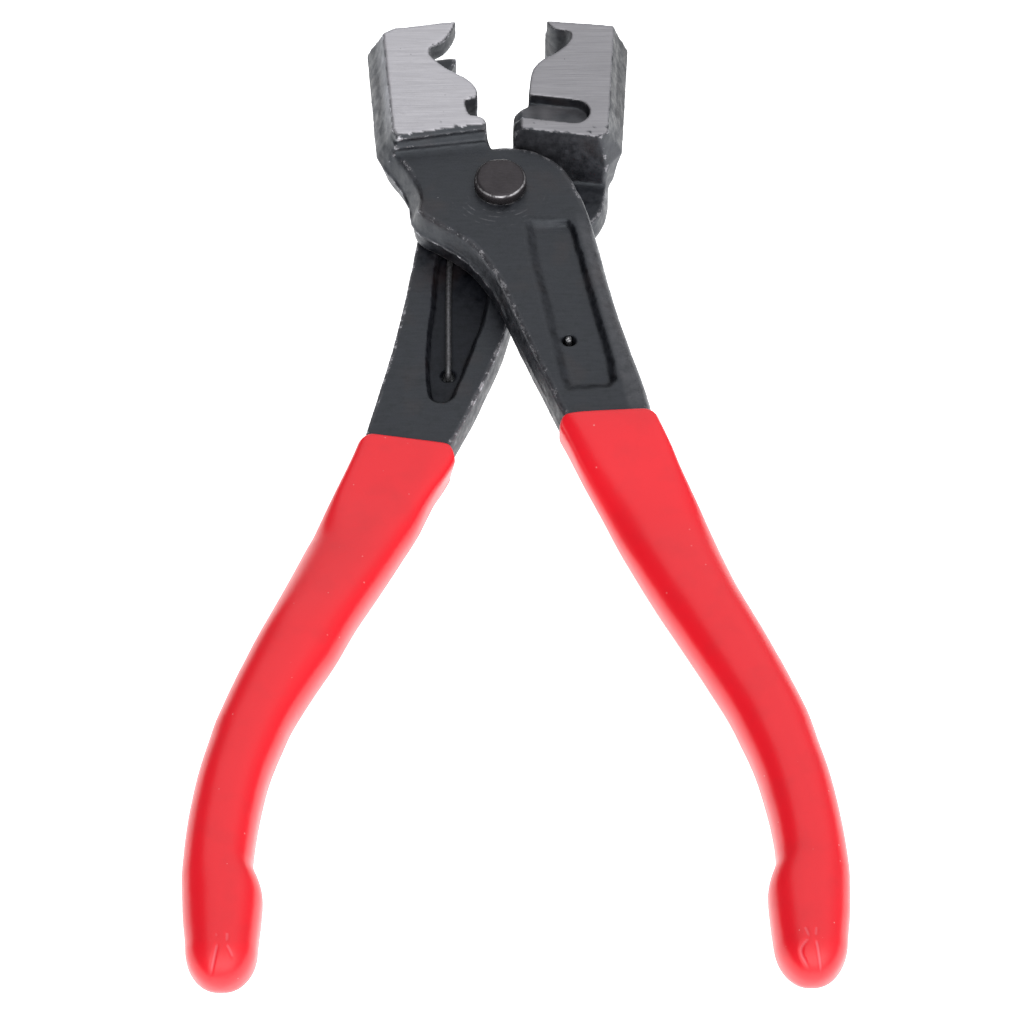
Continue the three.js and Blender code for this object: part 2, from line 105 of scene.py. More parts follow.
# Each sleeve: lip, its open end; end, its closed end; tilt, the slope of the open end, and corners,
# how far its inner and outer corners drop; shift, how much sooner its shape ends; settle, where the
# sleeve starts to settle onto the lap plane and over what length; base, how square its underside
# is and over what length that fades; flare, how far the lip's inner corner spreads; inner_corner,
# how square its inner top edge is at the lip; trim, small differences from HANDLE_EDGES; folds,
# the folds on its end as (depth, [(x, y)...]).
RIGHT_SLEEVE = dict(
    lip=-48.2, end=-147.9, tilt=0.04, corners=(1.3, 0.9), shift=0.0, settle=(49, 22),
    base=(3.4, 15), flare=0.0, inner_corner=4.0,
    trim=[(-200, 0, 0), (-115, 0, 0), (-108, 0, 0), (-103, -0.14, 0.08), (-95, -0.18, 0.06),
          (-88, -0.17, 0.02), (-83, -0.12, -0.03), (-78, 0, 0), (-74, 0.1, 0.14), (-69.5, 0.06, 0.2),
          (-65, 0, 0.17), (-62, -0.18, 0), (-58, -0.38, -0.18), (-54, -0.4, -0.02),
          (-50, -0.32, -0.04), (-46, -0.2, 0.08), (-40, 0, 0.1)],
    folds=[(0.12, [(42.5, -140.9), (42.75, -141.6), (43.1, -142.8)]),
           (0.11, [(44.25, -141.0), (44.1, -142.0), (44.05, -142.7)]),
           (0.13, [(43.3, -142.6), (42.2, -143.7), (41.75, -144.6), (42.0, -145.5), (43.2, -147.3)]),
           (0.15, [(44.0, -142.9), (44.25, -144.3), (44.45, -145.8), (44.75, -147.7)])])
LEFT_SLEEVE = dict(
    lip=-46.5, end=-146.5, tilt=0.165, corners=(2.6, 1.5), shift=-1.6, settle=(56.2, 31),
    base=(4.5, 8.6), flare=0.9, inner_corner=8.0,
    trim=[(-150, 0.1, 0.6), (-145, 0.1, 0.5), (-139, 0.34, 0.15), (-133, 0.22, 0), (-127, 0.3, 0),
          (-121, 0, 0), (-108, 0.1, 0), (-95, 0.05, 0.25), (-89, -0.28, 0.25), (-82, 0, 0.33),
          (-75, 0.05, 0.47), (-68, -0.15, 0.43), (-65, -0.28, 0.25), (-62, -0.32, 0.25),
          (-57, -0.1, 0.3), (-52, -0.02, 0.3), (-47, 0, 0.32), (-40, 0, 0.32)],
    folds=[(0.12, [(42.85, -139.7), (42.82, -140.6), (42.9, -141.5)]),
           (0.08, [(44.5, -139.7), (44.3, -140.6)]),
           (0.14, [(44.15, -141.4), (44.5, -142.8), (44.85, -144.3), (45.4, -146.1)]),
           (0.12, [(42.9, -141.6), (42.4, -142.5), (41.8, -143.8)])])

# ---- studio settings ----
SKY = dict(horizon=0.4, top=1.12, left=0.12, right=0.6, behind=2.3)
FLOOR_GLOW = 1.4
CAMERA = dict(elevation=55.5, azimuth=-1.1, distance=565.96, lens=123.05, target=(0.794, -61.934, 0.0))


# ---- outlines and signed distances ----
def catmull(points, per_step=0.45):
    """Points along a smooth curve through the given ones."""
    p = np.array([points[0], *points, points[-1]], float)
    out = []
    for a, b, c, d in zip(p, p[1:], p[2:], p[3:]):
        n = max(1, int(np.linalg.norm(c - b) / per_step))
        t = (np.arange(n) / n)[:, None]
        out.append(0.5 * (2 * b + (c - a) * t + (2 * a - 5 * b + 4 * c - d) * t**2
                          + (3 * b - a - 3 * c + d) * t**3))
    return np.vstack([*out, p[-1:]])


def outline(*runs):
    """Closed outline of smooth runs that meet at corners."""
    return np.vstack([catmull(run) if len(run) > 2 else np.array(run, float) for run in runs])


def arc(cx, cy, radius, start, stop, steps=24):
    angles = np.radians(np.linspace(start, stop, steps))
    return [(cx + radius * math.cos(a), cy + radius * math.sin(a)) for a in angles]


def distance(shape, x, y):
    """Signed distance in the plane from each (x, y) to a closed outline, negative inside."""
    best = np.full(x.shape, 1e9)
    inside = np.zeros(x.shape, bool)
    for (ax, ay), (bx, by) in zip(shape, np.roll(shape, -1, axis=0)):
        ex, ey = bx - ax, by - ay
        length2 = ex * ex + ey * ey
        if length2 < 1e-12:
            continue
        t = np.clip(((x - ax) * ex + (y - ay) * ey) / length2, 0, 1)
        best = np.minimum(best, (x - ax - t * ex) ** 2 + (y - ay - t * ey) ** 2)
        crosses = (ay > y) != (by > y)
        if crosses.any() and ey:
            inside ^= crosses & (x < ax + (y - ay) * ex / ey)
    return np.where(inside, -1.0, 1.0) * np.sqrt(best)


def meet(a, b, k):
    """Intersection of two solids, the edge between them rounded over about k."""
    h = np.clip(k - np.abs(a - b), 0, None) / k
    return np.maximum(a, b) + h * h * k / 4


def join(a, b, k):
    """Union of two solids with a fillet of about k."""
    return -meet(-a, -b, k)


def cut(a, b, k):
    """Solid a with b taken away."""
    return meet(a, -b, k)


def ease(t):
    t = np.clip(t, 0, 1)
    return t * t * (3 - 2 * t)


def value_noise(points, cell, seed):
    """Smooth noise from -1 to 1 with features about cell wide."""
    size = 32
    table = np.random.default_rng(seed).uniform(-1, 1, (size, size, size))
    q = points / cell
    base = np.floor(q).astype(int)
    f = ease(q - base)
    total = np.zeros(len(points))
    for dx in (0, 1):
        for dy in (0, 1):
            for dz in (0, 1):
                weight = (np.abs(1 - dx - f[:, 0]) * np.abs(1 - dy - f[:, 1])
                          * np.abs(1 - dz - f[:, 2]))
                i, j, k = ((base + (dx, dy, dz)) % size).T
                total += weight * table[i, j, k]
    return total


class Grid:
    """Sample points of one steel half: x and y as a plane of values, z as a column."""

    def __init__(self, low, high):
        self.low = np.array(low, float)
        count = np.ceil((np.array(high) - self.low) / GRID).astype(int) + 1
        x, y, z = (self.low[i] + GRID * np.arange(count[i]) for i in range(3))
        self.x, self.y = np.meshgrid(x, y, indexing="ij")
        self.z = z

    def plane(self, field):
        return field[:, :, None]

    def column(self, field):
        return np.asarray(field)[None, None, :]

    def turned(self):
        """The same points as the other half sees them, half a turn round about Y."""
        other = Grid.__new__(Grid)
        other.low, other.x, other.y, other.z = self.low, -self.x, self.y, -self.z
        return other


def lofted(grid, levels):
    """Solid through outlines at rising heights: [(z, outline)]."""
    heights = [z for z, _ in levels]
    fields = [distance(np.array(shape, float), grid.x, grid.y) for _, shape in levels]
    result = np.empty(grid.x.shape + grid.z.shape)
    for n, z in enumerate(grid.z):
        k = int(np.clip(np.searchsorted(heights, z) - 1, 0, len(heights) - 2))
        t = np.clip((z - heights[k]) / (heights[k + 1] - heights[k]), 0, 1)
        result[:, :, n] = (1 - t) * fields[k] + t * fields[k + 1]
    return result


# ---- the forging blank that both halves share ----
UPPER_SHOULDER = [(-20.6, 9.6), (-19.4, 6.6), (-17.4, 3.6), (-15.9, 0.2), (-15.2, -3.0), (-14.9, -5.4),
                  (-13.6, -7.4)]
LOWER_SHOULDER = [(-18.9, 9.6), (-18.8, 5.4), (-18.4, 2.6), (-17.7, 0.3), (-16.6, -1.6), (-15.1, -3.2),
                  (-14.4, -5.2), (-13.2, -7.4)]
UPPER_THROAT = [(-11.0, -9.1), (-7.7, -11.5), (-5.2, -13.9), (-2.8, -17.6), (-0.8, -21.4), (1.4, -27.6),
                (3.85, -34.4), (6.1, -40.2), (8.6, -47.0), (11.1, -52.5), (14.0, -58.0), (16.6, -64.0)]
LOWER_THROAT = [(-11.0, -9.1), (-7.7, -11.5), (-5.2, -13.9), (-3.0, -17.6), (-1.6, -21.4), (0.2, -27.6),
                (2.9, -34.4), (5.3, -40.2), (8.6, -47.0), (11.1, -52.5), (14.0, -58.0), (16.6, -64.0)]
UPPER_OUTER = [(28.9, -64.0), (26.6, -58.0), (24.8, -52.0), (24.0, -46.3), (23.2, -41.8), (21.05, -33.5),
               (19.0, -25.0), (17.3, -16.5), (15.95, -9.0), (14.4, -3.2)]
LOWER_OUTER = [(28.9, -64.0), (26.6, -58.0), (24.7, -52.0), (23.5, -46.3), (22.3, -41.8), (20.15, -33.5),
               (18.1, -25.0), (16.45, -16.5), (15.15, -9.0), (14.1, -3.2)]
LAP_ARC = dict(cx=1.2, cy=-3.5, radius=12.5, start=14, stop=101)
UNDER_JAW = [(-2.9, 12.4), (-20.0, 12.5)]     # where the plate ends beneath its jaw

# How far the crest of the outer face stands in from the widest outline: x, y, inset.
CREST_INSET = [(-20.0, 8.4, 1.9), (-17.1, 3.5, 1.5), (-15.4, -2.0, 1.7), (-14.0, -6.8, 1.0),
               (-9.0, -10.4, 0.8), (-4.0, -15.4, 0.7), (0.0, -24.6, 0.5), (6.0, -40.2, 0.45),
               (11.2, -52.5, 0.45), (24.7, -52.0, 0.8), (20.3, -33.5, 0.8), (17.0, -16.5, 0.8),
               (13.0, 0.0, 0.6), (7.0, 7.5, 0.5), (-2.0, 8.6, 0.4)]

FACE_PANEL = outline([(4.6, -8.9), (5.2, -15.0), (6.6, -23.0), (8.2, -32.0), (9.5, -40.6)],
                     [(10.3, -42.9), (13.4, -42.8), (16.9, -42.6)],
                     [(17.9, -41.4), (17.3, -36.0), (14.9, -24.0), (12.9, -13.5), (11.9, -8.9)],
                     [(11.2, -8.0), (5.2, -8.0)])
LEG_RECESS = outline([(3.5, -3.5), (1.9, -12.0), (3.2, -22.1), (4.75, -26.8), (6.6, -32.4),
                      (8.15, -36.6)],
                     [(8.15, -36.6), (8.6, -37.9), (9.6, -38.7), (10.9, -38.8), (12.0, -38.2),
                      (12.5, -36.9), (12.8, -32.3), (12.5, -25.4), (11.8, -19.6), (11.0, -10.0),
                      (9.0, -3.5)])


def crest_inset(x, y):
    """CREST_INSET spread over the plane, each point's inset felt most near to it."""
    total, weight = 0.0, 0.0
    for ax, ay, inset in CREST_INSET:
        w = 1 / ((x - ax) ** 2 + (y - ay) ** 2 + 1.0) ** 2
        total = total + w * inset
        weight = weight + w
    return total / weight


def arm_floor(y):
    """Height of the inner face: the arms stand back from the lap plane towards the sleeve."""
    return LAP_GAP + ARM_SET_BACK * np.clip((-16 - y) / 36.5, 0, None)


def from_spine(x, y):
    """How far (x, y) is outside the panel's slanting middle line."""
    return x - 8.3 + 0.27 * (y + 8)


def coil_space(grid):
    """Ring round the pin that the spring's coil turns in."""
    off_middle = np.abs(np.hypot(grid.x, grid.y) - COIL_ROOM["radius"])
    return np.maximum(grid.plane(off_middle - COIL_ROOM["half_width"]),
                      grid.column(grid.z) - COIL_ROOM["height"])


def blank(grid, inner, outer, leg_hole_at):
    """Lap plate and arm, outer face up, with panel, spring recess and holes.
    Also gives the distance to their widest outline, in the plane."""
    x, y, z = grid.x, grid.y, grid.column(grid.z)
    shape = outline(inner, outer + arc(**LAP_ARC), UNDER_JAW)
    widest = distance(shape, x, y)
    inset = crest_inset(x, y)
    rise = np.interp(grid.z, [0, PARTING - 0.5, PARTING + 0.5, PLATE_TOP], [0.35, 0.03, 0.03, 1.0])
    side = grid.plane(widest) + grid.plane(inset) * grid.column(rise)
    panel = distance(FACE_PANEL, x, y)
    wall = np.interp(from_spine(x, y), [-3.5, 3.5], [2.6, 0.55])
    crown = 0.12 * ease(1 - np.hypot(x + 12.5, y + 6) / 9)
    margin = ease(1 + widest / 3.0) * ease(from_spine(x, y) / 2)
    margin = margin * ease((-y - 4) / 8) * ease((y + 48) / 5)
    roof = PLATE_TOP + crown - PANEL_DEPTH * ease(0.4 - panel / wall) - MARGIN_DROP * margin
    recess = distance(LEG_RECESS, x, y)
    floor = arm_floor(y) + RECESS_DEPTH * ease(0.4 - recess / 0.75)
    body = meet(side, z - grid.plane(roof), 0.9)
    body = meet(body, grid.plane(floor) - z, 0.45)
    body = cut(body, grid.plane(np.hypot(x, y) - PIN_HOLE_RADIUS) + 0 * z, 0.2)
    body = cut(body, coil_space(grid), 0.2)
    leg_hole = np.hypot(x - leg_hole_at[0], y - leg_hole_at[1]) - LEG_HOLE_RADIUS
    return cut(body, grid.plane(leg_hole) + 0 * z, 0.35), widest


def flash(grid, widest):
    """Trimmed flash: a thin, scalloped lip along the parting line of throat and shoulder.
    It is the rim of a slab as wide as the blank, which closes the blank's holes at that height."""
    x, y, z = grid.x, grid.y, grid.column(grid.z)
    along = x * 0.9 - y * 0.6
    scallop = 0.16 + 0.2 * np.abs(np.sin(along * 0.95)) + 0.12 * np.sin(along * 0.37 + 1.0)
    near = ease((9 - y) / 3) * ease((y + 30) / 8) * ease((3 - x) / 3)
    return meet(grid.plane(widest - scallop * near - 0.02), np.abs(z - PARTING) - 0.32, 0.4)


# ---- jaws ----
LEFT_BLOCK = [                # outline of the left jaw's block at rising heights
    (JAW_BOTTOM, [(1, 10.4), (1, 35.2), (-7.4, 34.8), (-18.4, 33.6), (-20.6, 32.4), (-18.4, 13.5),
                  (-16.6, 10.0)]),
    (0.2, [(1, 9.7), (1, 35.6), (-7.4, 35.2), (-18.6, 34.0), (-21.9, 32.8), (-20.3, 11.5),
           (-18.4, 8.6)]),
    (JAW_PARTING, [(1, 8.2), (1, 35.8), (-7.4, 35.4), (-18.9, 34.3), (-22.9, 33.0), (-21.2, 9.6),
                   (-19.9, 7.0)]),
    (6.4, [(1, 8.2), (1, 35.7), (-7.4, 35.3), (-18.7, 34.1), (-22.1, 32.9), (-20.3, 9.8),
           (-19.0, 6.8)]),
    (7.8, [(1, 8.6), (1, 35.4), (-7.4, 35.0), (-18.3, 33.8), (-21.3, 32.7), (-19.4, 10.0),
           (-18.2, 6.9)]),
    (JAW_TOP, [(1, 11.9), (1, 35.6), (-7.2, 34.8), (-17.8, 33.5), (-19.9, 32.3), (-18.2, 10.4),
               (-17.4, 8.9)]),
]
LEFT_PROFILE = outline(
    [(-7.2, 40), (-7.2, 34.6)],
    [(-7.2, 34.6), (-7.8, 32.9), (-8.6, 31.3), (-9.6, 30.1), (-10.8, 29.35), (-11.6, 28.7),
     (-11.9, 27.9), (-11.6, 27.0), (-10.7, 25.8), (-9.2, 24.3), (-7.6, 23.1), (-5.7, 21.8),
     (-4.4, 20.4), (-3.7, 19.0), (-3.65, 17.5)],
    [(-3.65, 17.5), (-4.7, 17.1), (-5.75, 16.6)],
    [(-5.75, 16.6), (-5.5, 14.5), (-4.95, 13.4)],
    [(-4.95, 13.4), (-3.8, 13.1), (-2.75, 12.6), (-2.25, 11.6), (-2.1, 10.0), (-1.9, 5.0)],
    [(-26, 5), (-26, 40)])
FORK = dict(root=27.6, back=-15.2, middle=4.0, half_gap=3.0)  # slot that parts the left jaw's tips
CLOSING_ROOM = dict(edge=-2.8, stop=14.5, top=7.5)  # lets the left heel pass the right jaw when shut
RIDGES = dict(height=0.19, top=9.7, pitch=1.35)     # steps pressed into the back of the left jaw

RIGHT_BLOCK = [               # outline of the right jaw's block at rising heights
    (JAW_BOTTOM, [(1, 9.4), (17.6, 6.8), (19.7, 9.6), (21.5, 32.6), (18.2, 34.2), (1, 35.4)]),
    (0.2, [(1, 9.1), (18.0, 6.5), (20.1, 9.2), (22.3, 33.0), (19.0, 34.5), (1, 35.7)]),
    (JAW_PARTING, [(1, 9.7), (18.5, 6.8), (21.2, 9.8), (23.1, 33.4), (20.0, 34.8), (1, 35.8)]),
    (6.4, [(1, 9.9), (18.1, 7.1), (20.4, 9.7), (22.2, 33.4), (19.6, 34.5), (1, 35.5)]),
    (PLATE_TOP, [(1, 10.2), (17.8, 7.35), (19.7, 9.6), (21.4, 33.4), (19.0, 34.1), (1, 35.2)]),
    (JAW_TOP, [(1, 10.6), (17.1, 7.9), (18.55, 9.1), (20.4, 33.2), (18.0, 33.6), (1, 35.5)]),
]
RIGHT_PROFILE = outline(
    [(26, 40), (26, 5), (2.3, 5)],
    [(2.3, 5), (2.35, 9.0), (2.4, 12.5), (2.65, 14.6), (3.5, 15.9), (5.05, 16.9)],
    [(5.05, 16.9), (5.35, 20.0), (5.75, 22.4), (6.4, 24.1), (7.8, 25.7), (9.5, 26.8), (11.2, 28.2),
     (12.4, 29.8), (12.95, 31.2), (12.5, 32.1), (11.3, 32.5), (10.2, 32.7), (9.3, 33.5),
     (8.45, 34.7)],
    [(8.45, 34.7), (8.45, 40)])
JAW_SLOT = dict(end=(12.9, 13.75), radius=2.62, tilt=-9.3, depth=2.3)


def rear_ridges(z):
    """Steps pressed along the back of the left jaw, as a push along +Y at each height."""
    wave = RIDGES["height"] * np.cos(2 * np.pi * (z - RIDGES["top"]) / RIDGES["pitch"])
    return wave * ease((z - 7.9) / 0.6) * ease((10.9 - z) / 0.5)


def left_jaw(grid):
    """Forked jaw of the upper half, down past the lap plane, with room for the other half."""
    x, y, z = grid.x, grid.y, grid.column(grid.z)
    block = lofted(grid, LEFT_BLOCK)
    rear = grid.plane(ease((15 - y) / 2) * ease((x + 18.6) / 1.2))
    block = block + rear * rear_ridges(z)
    block = meet(block, JAW_BOTTOM - z, 0.7)
    working = meet(block, grid.plane(distance(LEFT_PROFILE, x, y)) + 0 * z, 0.3)
    working = meet(working, z - JAW_TOP, 0.28)
    fork = np.maximum(grid.plane(np.maximum(FORK["root"] - y, FORK["back"] - x)),
                      np.abs(z - FORK["middle"]) - FORK["half_gap"])
    working = cut(working, fork, 0.25)
    lap_room = np.maximum(grid.plane(np.hypot(x, y) - LAP_ROOM_RADIUS), z - LAP_GAP)
    closing = grid.plane(np.maximum(CLOSING_ROOM["edge"] - x, y - CLOSING_ROOM["stop"]))
    closing = np.maximum(closing, z - CLOSING_ROOM["top"])
    return cut(cut(working, lap_room, 0.2), closing, 0.2)


def right_jaw(grid):
    """Hooked jaw of the lower half, with a round-ended slot in its ground face."""
    x, y, z = grid.x, grid.y, grid.column(grid.z)
    block = meet(lofted(grid, RIGHT_BLOCK), JAW_BOTTOM - z, 0.7)
    profile = distance(RIGHT_PROFILE, x, y)
    heel = ease((16 - y) / 1.5)
    rounding = grid.plane(heel) * 1.4 * ease((z - 8.0) / 3.0) ** 2
    working = meet(block, grid.plane(profile) + rounding, 0.3)
    working = meet(working, z - JAW_TOP, 0.28)
    (ex, ey), tilt = JAW_SLOT["end"], math.radians(JAW_SLOT["tilt"])
    along = (x - ex) * math.cos(tilt) + (y - ey) * math.sin(tilt)
    across = -(x - ex) * math.sin(tilt) + (y - ey) * math.cos(tilt)
    slot = np.hypot(np.maximum(along, 0), across) - JAW_SLOT["radius"]
    slot = meet(grid.plane(slot), (JAW_TOP - JAW_SLOT["depth"]) - z, 0.5)
    working = cut(working, slot, 0.22)
    lap_room = np.maximum(grid.plane(np.hypot(x, y) - LAP_ROOM_RADIUS), -LAP_GAP - z)
    return cut(working, lap_room, 0.2)


def gusset(grid):
    """Wedge that carries the right jaw from its plate up across the lap plane."""
    x, y, z = grid.x, grid.y, grid.column(grid.z)
    plan = np.maximum(np.maximum(7.4 - y, y - 24), np.maximum(6.4 - x, x - 17.6))
    slope = -PLATE_TOP + 5.0 * ease((y - 10) / 14)
    return meet(grid.plane(plan) + 0 * z, np.maximum(grid.plane(slope) - z, z + 0.4), 1.2)


def upper_half():
    grid = Grid((-24.5, STEEL_END, -4), (30.5, 37, 12.2))
    plate, widest = blank(grid, UPPER_SHOULDER + UPPER_THROAT, UPPER_OUTER, UPPER_LEG_HOLE)
    body = join(plate, flash(grid, widest), 0.3)
    return grid, join(body, left_jaw(grid), 0.9)


def lower_half():
    grid = Grid((-30.5, STEEL_END, -9.2), (24.5, 37, 12.2))
    plate, _ = blank(grid.turned(), LOWER_SHOULDER + LOWER_THROAT, LOWER_OUTER, LOWER_LEG_HOLE)
    jaw = join(right_jaw(grid), gusset(grid), 0.9)
    return grid, join(plate, jaw, 0.9)


# ---- meshes ----
def make_mesh(name, points, faces, smooth=True):
    """A mesh object from points in millimetres, given from the lap plane."""
    points = (np.asarray(points, float) + (0, 0, LIFT)) * MM
    mesh = bpy.data.meshes.new(name)
    mesh.from_pydata(points.tolist(), [], [list(map(int, f)) for f in faces])
    mesh.polygons.foreach_set("use_smooth", [smooth] * len(mesh.polygons))
    mesh.update()
    obj = bpy.data.objects.new(name, mesh)
    bpy.context.scene.collection.objects.link(obj)
    return obj


def skin(grid, field):
    """Points and outward facing quads of the zero surface of a signed distance field."""
    padded = np.pad(field, 1, constant_values=1.0).astype(np.float32)
    volume = openvdb.FloatGrid(1.0)
    volume.copyFromArray(padded)
    points, _, quads = volume.convertToPolygons(0.0, 0.0)
    return points.astype(float) * GRID + grid.low - GRID, quads


def vertex_normals(points, quads):
    """Outward direction at each vertex, the mean of its faces' weighted by area."""
    corners = points[quads]
    normal = np.cross(corners[:, 2] - corners[:, 0], corners[:, 3] - corners[:, 1])
    total = np.zeros_like(points)
    for k in range(4):
        np.add.at(total, quads[:, k], normal)
    return total / np.maximum(np.linalg.norm(total, axis=1, keepdims=True), 1e-12)


def neighbour_mean(values, quads, rounds=1):
    """Each vertex's value averaged with its neighbours', a few times over."""
    edges = np.vstack([quads[:, [k, (k + 1) % 4]] for k in range(4)])
    count = np.bincount(edges.ravel(), minlength=len(values)).astype(float)
    shape = (-1,) + (1,) * (values.ndim - 1)
    for _ in range(rounds):
        total = np.zeros_like(values)
        np.add.at(total, edges[:, 0], values[edges[:, 1]])
        np.add.at(total, edges[:, 1], values[edges[:, 0]])
        values = total / np.maximum(count, 1).reshape(shape)
    return values


def bend_of_surface(points, quads, normals):
    """How convex the surface is at each vertex: about 1 on a sharp edge, negative in corners."""
    offset = points - neighbour_mean(points, quads, 2)
    return neighbour_mean(np.sum(offset * normals, axis=1), quads, 1) / EDGE_BEND


def add_attribute(obj, name, values):
    layer = obj.data.attributes.new(name, "FLOAT", "POINT")
    layer.data.foreach_set("value", np.asarray(values, np.float32))


SLOT_FLOOR_SHARE = 0.4        # how bare the slot's floor and the jaws' outer bevels are
LEFT_BEVEL_SHARE = 0.36
RIGHT_BEVEL_SHARE = 0.03


def ground_share(points, normals):
    """1 where the grinding wheel reached: the jaw faces, up to a ragged line at the rear.
    The slot's floor and the outer bevels are only partly bright."""
    x, y, z = points.T
    ragged = 0.16 * value_noise(points, 0.9, 21) + 0.1 * value_noise(points, 0.4, 22)
    reach = z - (JAW_TOP - 0.16) - ragged * ease((13.0 - y) / 2.0)
    ground = ease(reach / 0.06) * ease((normals[:, 2] - 0.45) / 0.3)
    mottled = 0.5 + 0.5 * value_noise(points, 1.6, 23)
    slot_floor = (x > 4) & (z > 8.5) & (z < 9.2) & (y > 10.5) & (y < 17) & (normals[:, 2] > 0.9)
    bevel = ease((np.abs(x) - 17.5) / 1.5) * ease((z - 7) / 3.5) * ease((y - 8) / 6)
    bevel = np.where(x < 0, LEFT_BEVEL_SHARE, RIGHT_BEVEL_SHARE) * bevel * (0.4 + 0.6 * mottled)
    return np.maximum(ground, np.maximum(SLOT_FLOOR_SHARE * mottled * slot_floor, bevel))


def painted_light_and_shade(own, normals, side):
    """Below 0 where shade is painted, in the spring's recess and on the right jaw's outer
    bevel; above 0 where light is painted, on the arm's outer margin and the right jaw's rear."""
    x, y, z = own.T
    recess = ease((0.5 - distance(LEG_RECESS, x, y)) / 0.5) * (z < 3.3)
    recess = recess * ease((-normals[:, 2] - 0.3) / 0.5)
    margin = ease((x - 10.7 + 0.19 * y) / 1.0) * ease((-y - 4) / 8) * ease((y + 50) / 5) * (z > 5)
    rear = ease((-normals[:, 1] - 0.3) / 0.4) * ease((y - 6) / 3) * ease((17 - y) / 2) * (side < 0)
    bevel = ease((x + 17.5) / -1.5) * ease((y - 12) / 4) * (side < 0)
    return np.maximum(margin, 0.55 * rear) - recess - 0.8 * bevel


def sheltered(own, side):
    """True on the edges that nothing rubs: round the recess, the panel and the leg's hole."""
    x, y, z = own.T
    hole_x, hole_y = UPPER_LEG_HOLE if side > 0 else LOWER_LEG_HOLE
    by_recess = (np.abs(distance(LEG_RECESS, x, y)) < 1.2) & (z < 2.5)
    by_panel = (np.abs(distance(FACE_PANEL, x, y)) < 1.0) & (z > 5)
    return by_recess | by_panel | (np.hypot(x - hole_x, y - hole_y) < 2 * LEG_HOLE_RADIUS)


def forged(name, side, grid, field):
    """Skins a steel half and presses the uneven surface of a forging into it."""
    points, quads = skin(grid, field)
    normals = vertex_normals(points, quads)
    convex = bend_of_surface(points, quads, normals)
    own = points * (side, 1, side)
    convex = np.where(sheltered(own, side), np.minimum(convex, 0.1), convex)
    ground = ground_share(points, normals)
    flat = np.maximum(ground, ease((np.abs(normals[:, 2]) - 0.9) / 0.08))
    rough = 1 - 0.8 * flat
    lumps = (0.045 * value_noise(points, 2.6, 11) + 0.03 * value_noise(points, 1.1, 12)
             + 0.02 * value_noise(points, 0.55, 13))
    points = points + normals * (lumps * rough * (1 - ground))[:, None]
    obj = make_mesh(name, points, quads)
    add_attribute(obj, "convex", convex)
    add_attribute(obj, "ground", ground)
    # painted light and shade for the steel's material: recess and right bevel darker, margin and rear
    # lighter
    add_attribute(obj, "painted_light_and_shade", painted_light_and_shade(own, normals * (side, 1, side), side))
    return obj


def joined(body, extra):
    """Union of a steel half with the tang that carries on inside the sleeve."""
    union = body.modifiers.new("tang", "BOOLEAN")
    union.operation = "UNION"
    union.solver = "MANIFOLD"
    union.object = extra
    bpy.context.view_layer.update()
    graph = bpy.context.evaluated_depsgraph_get()
    body.data = bpy.data.meshes.new_from_object(body.evaluated_get(graph))
    body.modifiers.clear()
    bpy.data.objects.remove(extra)
    return body


# ---- handles: sleeves and the tangs inside them ----
EDGE_ROWS = catmull(HANDLE_EDGES, 0.3)[::-1]


def handle_edges(y, sleeve):
    """Inner and outer edge of the handle, seen from above, at y."""
    shifted = y + sleeve["shift"] * ease((-y - 90) / 30)
    trim = catmull(sleeve["trim"], 1.0)
    return [np.interp(shifted, EDGE_ROWS[:, 0], EDGE_ROWS[:, k]) + np.interp(y, trim[:, 0], trim[:, k])
            for k in (1, 2)]


def handle_ring(y, depth, sleeve, side, closing=1.0):
    """Evenly spaced points round the handle at y, depth inside its surface, from the top."""
    settle_from, settle_over = sleeve["settle"]
    base_power, base_over = sleeve["base"]
    settle, swell = ease((-y - settle_from) / settle_over), ease((-y - 53) / 31)
    centre = side * (4.65 - 4.15 * settle)
    half = (HANDLE_HALF_HEIGHT + swell - depth) * closing
    inner, outer = handle_edges(y, sleeve)
    middle, reach = (inner + outer) / 2, ((outer - inner) / 2 - depth) * closing
    angle = np.linspace(0, 2 * math.pi, 721)
    c, s = np.cos(angle), np.sin(angle)
    top_power = np.where(s < 0, sleeve["inner_corner"], SQUARE)
    top_power = top_power + (ROUNDED - top_power) * ease((-y - 47) / 20)
    bottom_power = base_power + (ROUNDED - base_power) * ease((-y - 48) / base_over)
    power = 2 / np.where(c > 0, top_power, bottom_power)
    across = reach * np.sign(s) * np.abs(s) ** power
    up = half * np.sign(c) * np.abs(c) ** power
    along = np.concatenate([[0], np.cumsum(np.hypot(np.diff(across), np.diff(up)))])
    even = np.arange(SLEEVE_SIDES) / SLEEVE_SIDES * along[-1]
    across, up = np.interp(even, along, across), np.interp(even, along, up)
    corner = np.clip(across / max(reach, 1e-6) * np.array([[-1], [1]]) - 0.78, 0, None) / 0.22
    drop = sleeve["corners"][0] * corner[0] ** 2 + sleeve["corners"][1] * corner[1] ** 2
    near_lip = 1 - ease((sleeve["lip"] - y) / 14)
    slant = near_lip * (sleeve["tilt"] * across - drop)
    slope = (sum(handle_edges(y + 1, sleeve)) - inner - outer) / 2
    flare = near_lip * sleeve["flare"] * corner[0] * np.clip(up / half + 0.3, 0, 1)
    return np.column_stack([side * (middle + across + slope * slant - flare), y + slant, centre + up])


